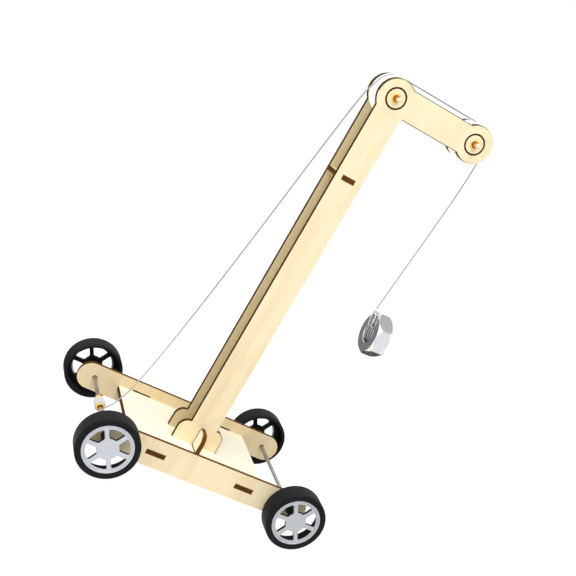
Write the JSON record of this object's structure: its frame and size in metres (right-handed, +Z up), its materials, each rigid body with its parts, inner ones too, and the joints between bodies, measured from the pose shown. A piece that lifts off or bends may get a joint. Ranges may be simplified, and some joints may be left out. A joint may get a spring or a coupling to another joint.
{
  "type": "weight-driven model car",
  "caption": "Plywood demonstration car whose rear axle is turned by a string that runs from a spool over mast pulleys to a hanging nut.",
  "frame": {"origin": "on the floor under the middle of the car", "axes": "+X toward the front axle and the pulley arm, +Y toward the far side, +Z up"},
  "size_m": [0.1652, 0.1194, 0.28],
  "materials": {
    "plywood": "laser-cut birch plywood, unfinished, edges browned",
    "steel": "drawn steel rod",
    "zinc_steel": "zinc-plated, turned faces",
    "amber_tube": "clear amber tubing",
    "black_plastic": "soft black moulded plastic",
    "silver_plastic": "satin silver moulded plastic",
    "white_plastic": "white moulded plastic",
    "string": "thin braided string"
  },
  "bodies": {
    "chassis": {"near_side_plate": "plywood", "near_mast_plate": "plywood", "near_gusset": "plywood", "far_side_plate": "plywood", "far_mast_plate": "plywood", "far_gusset": "plywood", "deck_plate": "plywood", "mast_cross_brace": "plywood", "corner_pulley_pin": "steel", "near_corner_bush": "amber_tube", "far_corner_bush": "amber_tube", "end_pulley_pin": "steel", "near_end_bush": "amber_tube", "far_end_bush": "amber_tube", "drive_string": "string"},
    "rear_axle_set": {"rear_axle": "steel", "near_rear_wheel": "black_plastic", "near_rear_hubcap": "silver_plastic", "far_rear_wheel": "black_plastic", "far_rear_hubcap": "silver_plastic", "spool_tube": "amber_tube", "string_winding": "string"},
    "front_axle_set": {"front_axle": "steel", "near_front_wheel": "black_plastic", "near_front_hubcap": "silver_plastic", "far_front_wheel": "black_plastic", "far_front_hubcap": "silver_plastic"},
    "corner_pulley_set": {"corner_pulley": "white_plastic"},
    "end_pulley_set": {"end_pulley": "white_plastic"},
    "string_fall": {"hanging_string": "string"},
    "weight": {"weight_nut": "zinc_steel", "near_weight_loop": "string", "far_weight_loop": "string", "string_knot": "string"}
  },
  "joints": [
    {"name": "rear_axle_turn", "type": "hinge", "parent": "chassis", "child": "rear_axle_set", "pos_m": [-0.06365, 0, 0.019], "axis": [0, 1, 0], "range_deg": [0, 1748.01]},
    {"name": "front_axle_turn", "type": "hinge", "parent": "chassis", "child": "front_axle_set", "pos_m": [0.06365, 0, 0.019], "axis": [0, 1, 0], "continuous": true},
    {"name": "corner_pulley_turn", "type": "hinge", "parent": "chassis", "child": "corner_pulley_set", "pos_m": [0.00015, 0, 0.2674], "axis": [0, 1, 0], "range_deg": [-422.77, 0]},
    {"name": "end_pulley_turn", "type": "hinge", "parent": "chassis", "child": "end_pulley_set", "pos_m": [0.05945, 0, 0.2674], "axis": [0, 1, 0], "range_deg": [-422.77, 0]},
    {"name": "weight_swing", "type": "hinge", "parent": "chassis", "child": "string_fall", "pos_m": [0.07165, 0, 0.2674], "axis": [0, 1, 0], "range_deg": [-20, 12]},
    {"name": "weight_lift", "type": "slide", "parent": "string_fall", "child": "weight", "axis": [0, 0, 1], "range_m": [0, 0.0901], "deforming": ["hanging_string"]}
  ],
  "couplings": [
    {"joint": "weight_lift", "follows": "rear_axle_turn", "m_per_rad": 0.00295},
    {"joint": "corner_pulley_turn", "follows": "rear_axle_turn", "ratio": -0.2418},
    {"joint": "end_pulley_turn", "follows": "rear_axle_turn", "ratio": -0.2418}
  ]
}
